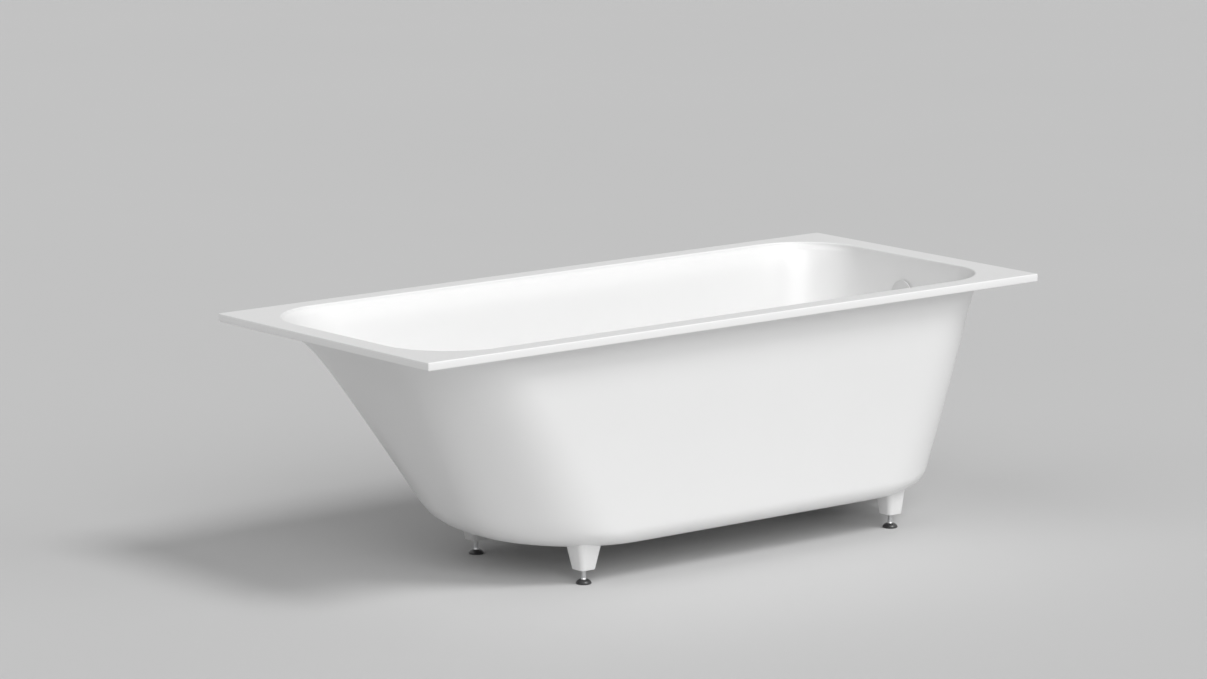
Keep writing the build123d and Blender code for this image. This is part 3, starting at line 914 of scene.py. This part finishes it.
# %% Elbow outside the wall
gasket_thickness = 5.0
elbow_depth = 30.0
outlet_depth = 23.5
gasket_back = outer_skin - gasket_thickness
elbow_back = gasket_back - elbow_depth
outlet_place = overflow_frame @ Matrix.Translation((0, 0, outer_skin - outlet_depth))
outlet_frame = outlet_place @ Matrix.Rotation(-pi / 2, 4, "Y")
elbow_profile = [
    (0, elbow_back, 0),
    (29, elbow_back, 3.0),
    (29, gasket_back - 4, 0.8),
    (37, gasket_back - 4, 0.8),
    (37, gasket_back, 0.5),
    (26, gasket_back, 0.3),
    (26, elbow_back + 3, 1.5),
    (5.5, elbow_back + 3, 0.6),
    (5.5, gasket_back, 0.4),
    (3, gasket_back, 0.3),
    (3, elbow_back + 3, 0),
    (0, elbow_back + 3, 0),
]


def socket(reach, start):
    """A pipe socket that begins inside its body and ends at its reach."""
    ends = [(12, start, 0), (17.4, start, 0), (17.4, reach, 0.5), (14.05, reach, 0.4)]
    return ends + [(14.05, reach - 12, 0), (12, reach - 12, 0)]


elbow_mesh = bmesh.new()
add_turned(elbow_mesh, elbow_profile, overflow_frame, 80)
add_turned(elbow_mesh, socket(51.0, 26.5), outlet_frame, 48)
for rib in range(12):
    if abs(rib - 6) > 1:
        add_block(elbow_mesh, (7.0, 2.0, 5.0), (31.6, 0, gasket_back - 6.4), overflow_frame, 30 * rib)
finish_piece(elbow_mesh, "overflow_housing", "tub", "fittings_grey", ["overflow_elbow"])

# %% [markdown]
# ## Overflow pipe
#
# The pipe runs from the elbow down the outside and under the tub into the waste. A curve with a bevel
# would do, but one ring of edges gives a true bend of one radius: it is pulled straight down the wall,
# spun round the bend, and pulled straight into the waste. Its wall is added at the end.

# %% Pipe
waste_inlet = Matrix.Translation((waste_x, 0, 50)) @ Matrix.Rotation(pi / 2, 4, "Y")
pipe_radius = 14.0
pipe_bend = 62.0
upper_seat = 39.05
lower_seat = 42.05
pipe_mouth = outlet_frame @ Matrix.Translation((0, 0, upper_seat))
pipe_start = pipe_mouth.translation
pipe_end = waste_inlet @ Vector((0, 0, lower_seat))
down_wall = outlet_frame.to_3x3() @ Vector((0, 0, 1))
pipe_corner = pipe_start + down_wall * ((pipe_start.z - pipe_end.z) / -down_wall.z)
bend_angle = down_wall.angle(Vector((-1, 0, 0)))
tangent = pipe_bend * tan(bend_angle / 2)
bend_start = pipe_corner - down_wall * tangent
bend_centre = bend_start + down_wall.cross(Vector((0, 1, 0))).normalized() * pipe_bend
if bend_centre.x > bend_start.x:
    bend_centre = bend_start * 2 - bend_centre

pipe_mesh = bmesh.new()
bmesh.ops.create_circle(pipe_mesh, segments=40, radius=pipe_radius, matrix=pipe_mouth)
ring, edges = pull_edges(pipe_mesh, list(pipe_mesh.edges))
bmesh.ops.translate(pipe_mesh, vec=bend_start - pipe_start, verts=list(ring))
spun = bmesh.ops.spin(
    pipe_mesh, geom=list(ring) + edges, cent=bend_centre, axis=(0, 1, 0), angle=bend_angle, steps=18
)["geom_last"]
edges = [item for item in spun if isinstance(item, bmesh.types.BMEdge)]
ring, edges = pull_edges(pipe_mesh, edges)
middle = sum((vert.co for vert in ring), Vector()) / len(ring)
bmesh.ops.translate(pipe_mesh, vec=pipe_end - middle, verts=list(ring))
bmesh.ops.recalc_face_normals(pipe_mesh, faces=pipe_mesh.faces)
bmesh.ops.solidify(pipe_mesh, geom=list(pipe_mesh.faces), thickness=2.0)
print("bend ends", round((middle - pipe_end).z, 3), "mm off the pipe's end line")
finish_piece(pipe_mesh, "overflow_tube", "tub", "pipe_white", ["overflow_pipe"])


# %% Union nuts
nut_radius = 21.0
nut_waist = 20.0
grips = 16


def union_nut(frame, name, node):
    """A ring whose outside is pressed in between its grips."""
    nut_mesh = bmesh.new()
    steps = 6 * grips
    profile = [(17.5, -12, 0.5), (nut_radius, -12, 1.0), (nut_radius, 6, 1.2)]
    profile += [(14.4, 6, 0.6), (14.4, 3, 0), (17.5, 3, 0)]
    add_turned(nut_mesh, profile, steps=steps)
    for vert in nut_mesh.verts:
        radius = sqrt(vert.co.x**2 + vert.co.y**2)
        number = round(atan2(vert.co.y, vert.co.x) / (2 * pi) * steps) % 6
        if radius > nut_waist + 0.2 and number in (1, 2, 3):
            vert.co.xy *= nut_waist / radius
    nut_mesh.transform(frame)
    finish_piece(nut_mesh, name, "tub", "fittings_grey", [node])


union_nut(outlet_frame @ Matrix.Translation((0, 0, 51)), "pipe_nut_upper", "union_nut_upper")
union_nut(waste_inlet @ Matrix.Translation((0, 0, 54)), "pipe_nut_lower", "union_nut_lower")

# %% [markdown]
# ## Waste
#
# The flange drops into the recess of the floor, and its throat passes through the casting into the
# body below. Five arms carry the cartridge of the push-open plug, whose cap covers it all. The round
# forms are spun, the arms and ribs are bevelled blocks that end inside them, as a casting's ribs do.

# %% Waste flange with its arms
waste_frame = Matrix.Translation((waste_x, 0, 0))
waste_flange_mesh = bmesh.new()
throat_profile = [(20.5, 62, 0.4), (23, 62, 0.4), (23, 93, 0)]
throat_profile += [(35, 93, 0.4), (35, 95.5, 1.2), (20.5, 95.5, 1.2)]
add_turned(waste_flange_mesh, throat_profile, waste_frame, 96)
hub_profile = [(9.05, 75, 0.3), (12, 75, 0.4), (12, 80, 0.4), (9.05, 80, 0.3)]
add_turned(waste_flange_mesh, hub_profile, waste_frame, 48)
for arm in range(5):
    add_block(waste_flange_mesh, (10.6, 4.0, 5.0), (16.4, 0, 77.5), waste_frame, 72 * arm, 0.8)
finish_piece(waste_flange_mesh, "waste_ring", "tub", "chrome", ["waste_flange"])

# %% Plug cap and seals
cap_mesh = bmesh.new()
add_turned(cap_mesh, [(0, 97, 0), (31, 97, 0.5), (31, 100.5, 2.4), (0, 100.5, 0)], waste_frame, 96)
finish_piece(cap_mesh, "plug_button", "plug", "chrome", ["plug_cap"])

gasket_mesh = bmesh.new()
gasket_profile = [(26, 74, 0.4), (37, 74, 0.8), (37, 76.2, 0.3), (36.2, 77, 0.3)]
gasket_profile += [(37, 77.8, 0.3), (37, 80, 0.4), (26, 80, 0.4)]
add_turned(gasket_mesh, gasket_profile, waste_frame, 80)
finish_piece(gasket_mesh, "waste_seal_below", "tub", "seal_rubber", ["waste_gasket"])

# %% Waste body
body_mesh = bmesh.new()
bowl_profile = [
    (0, 30, 0),
    (32, 30, 3.5),
    (32, 70, 1.0),
    (37, 70, 0.6),
    (37, 74, 0.4),
    (23.05, 74, 0.3),
    (23.05, 61, 0),
    (28.5, 61, 0),
    (28.5, 33.5, 2.5),
    (0, 33.5, 0),
]
add_turned(body_mesh, bowl_profile, waste_frame, 80)
add_turned(body_mesh, socket(54.0, 29.0), waste_inlet, 48)
waste_outlet = Matrix.Translation((waste_x, 0, 52)) @ Matrix.Rotation(-pi / 2, 4, "X")
spigot = [(17.5, 29, 0), (20, 29, 0), (20, 56, 0), (23, 56, 0.8), (23, 60, 0.8)]
spigot += [(20, 60, 0), (20, 104, 1.0), (17.5, 104, 0.5)]
add_turned(body_mesh, spigot, waste_outlet, 64)
for rib in range(12):
    add_block(body_mesh, (6.0, 2.2, 12.0), (33.2, 0, 64.6), waste_frame, 30 * rib + 15)
finish_piece(body_mesh, "waste_bowl", "tub", "fittings_grey", ["waste_body"])

# %% [markdown]
# ## Stage and light
#
# The tub stands on a plain pale floor that fills the picture. The shadow under the rim tells where the
# key light is: it falls 0.43 m back and 0.09 m to the left of the rim, 0.57 m below it. The shading of
# the walls tells the rest: wide soft lights, lower down in front on both sides and high beyond each end,
# with a faint even sky. The lower ones still shine from above the rim, which keeps the band under it dark.

# %% Floor
floor_reach = 60.0
floor_mesh = bmesh.new()
bmesh.ops.create_grid(floor_mesh, x_segments=1, y_segments=1, size=floor_reach)
floor_data = bpy.data.meshes.new("floor")
floor_mesh.to_mesh(floor_data)
floor_mesh.free()
floor = bpy.data.objects.new("floor", floor_data)
bpy.context.scene.collection.objects.link(floor)


def floor_finish(wire):
    """A matt pale grey with clouds that are hardly seen."""
    cloud = noise(wire, 0.7)
    return {
        "Base Color": tint(wire, cloud, (0.617, 0.617, 0.617), (0.634, 0.634, 0.634)),
        "Roughness": 0.85 + cloud * 0.05,
    }


floor_data.materials.append(new_material("pale_floor", floor_finish, specular_ior_level=0.2))


# %% Lamps and sky
def soft_sun(name, azimuth, elevation, width, strength):
    """Even light from a round patch of the sky; angles in degrees."""
    data = bpy.data.lights.new(name, "SUN")
    data.angle = radians(width)
    data.energy = strength
    light = bpy.data.objects.new(name, data)
    turn, lift = radians(azimuth), radians(elevation)
    to_light = Vector((cos(lift) * cos(turn), cos(lift) * sin(turn), sin(lift)))
    light.rotation_mode = "QUATERNION"
    light.rotation_quaternion = to_light.to_track_quat("Z", "Y")
    bpy.context.scene.collection.objects.link(light)


soft_sun("key", -80, 52, 19, 1.30)
soft_sun("front_left", -115, 28, 34, 1.02)
soft_sun("front_right", -60, 28, 34, 0.42)
soft_sun("beyond_head", 180, 48, 50, 0.50)
soft_sun("beyond_foot", 0, 60, 50, 0.15)

world = bpy.data.worlds.new("sky")
bpy.context.scene.world = world
world.use_nodes = True
world.node_tree.nodes.clear()
sky = Wire(world.node_tree)
paths = [sky.make("LightPath", {}, {}, output=kind) for kind in ("Is Camera Ray", "Is Glossy Ray")]
rays = paths[0] + paths[1]
light_sky = sky.make("Background", {}, {"Color": (1.0, 1.0, 1.0, 1.0), "Strength": 0.15})
seen_sky = sky.make("Background", {}, {"Color": (0.58, 0.58, 0.58, 1.0), "Strength": 1.0})
both = sky.make("MixShader", {}, {0: rays, 1: light_sky, 2: seen_sky})
sky.make("OutputWorld", {}, {"Surface": both})

bpy.context.scene.view_settings.view_transform = "Standard"

# %% [markdown]
# ## Carried-over pieces
#
# The small pieces that no operator would make better keep the shape of the engineering model: seals,
# the screw, and the cartridge with its spring and stem. Each gets its finish by the slot that the record
# names. The nodes that a new mesh replaces get theirs too, and are hidden.

# %% Finish the carried-over nodes
for part in frame["record"]["subparts"]:
    node = frame["nodes"][part["node"]]
    node.data.materials.clear()
    node.data.materials.append(finishes[part["material_slot"]])
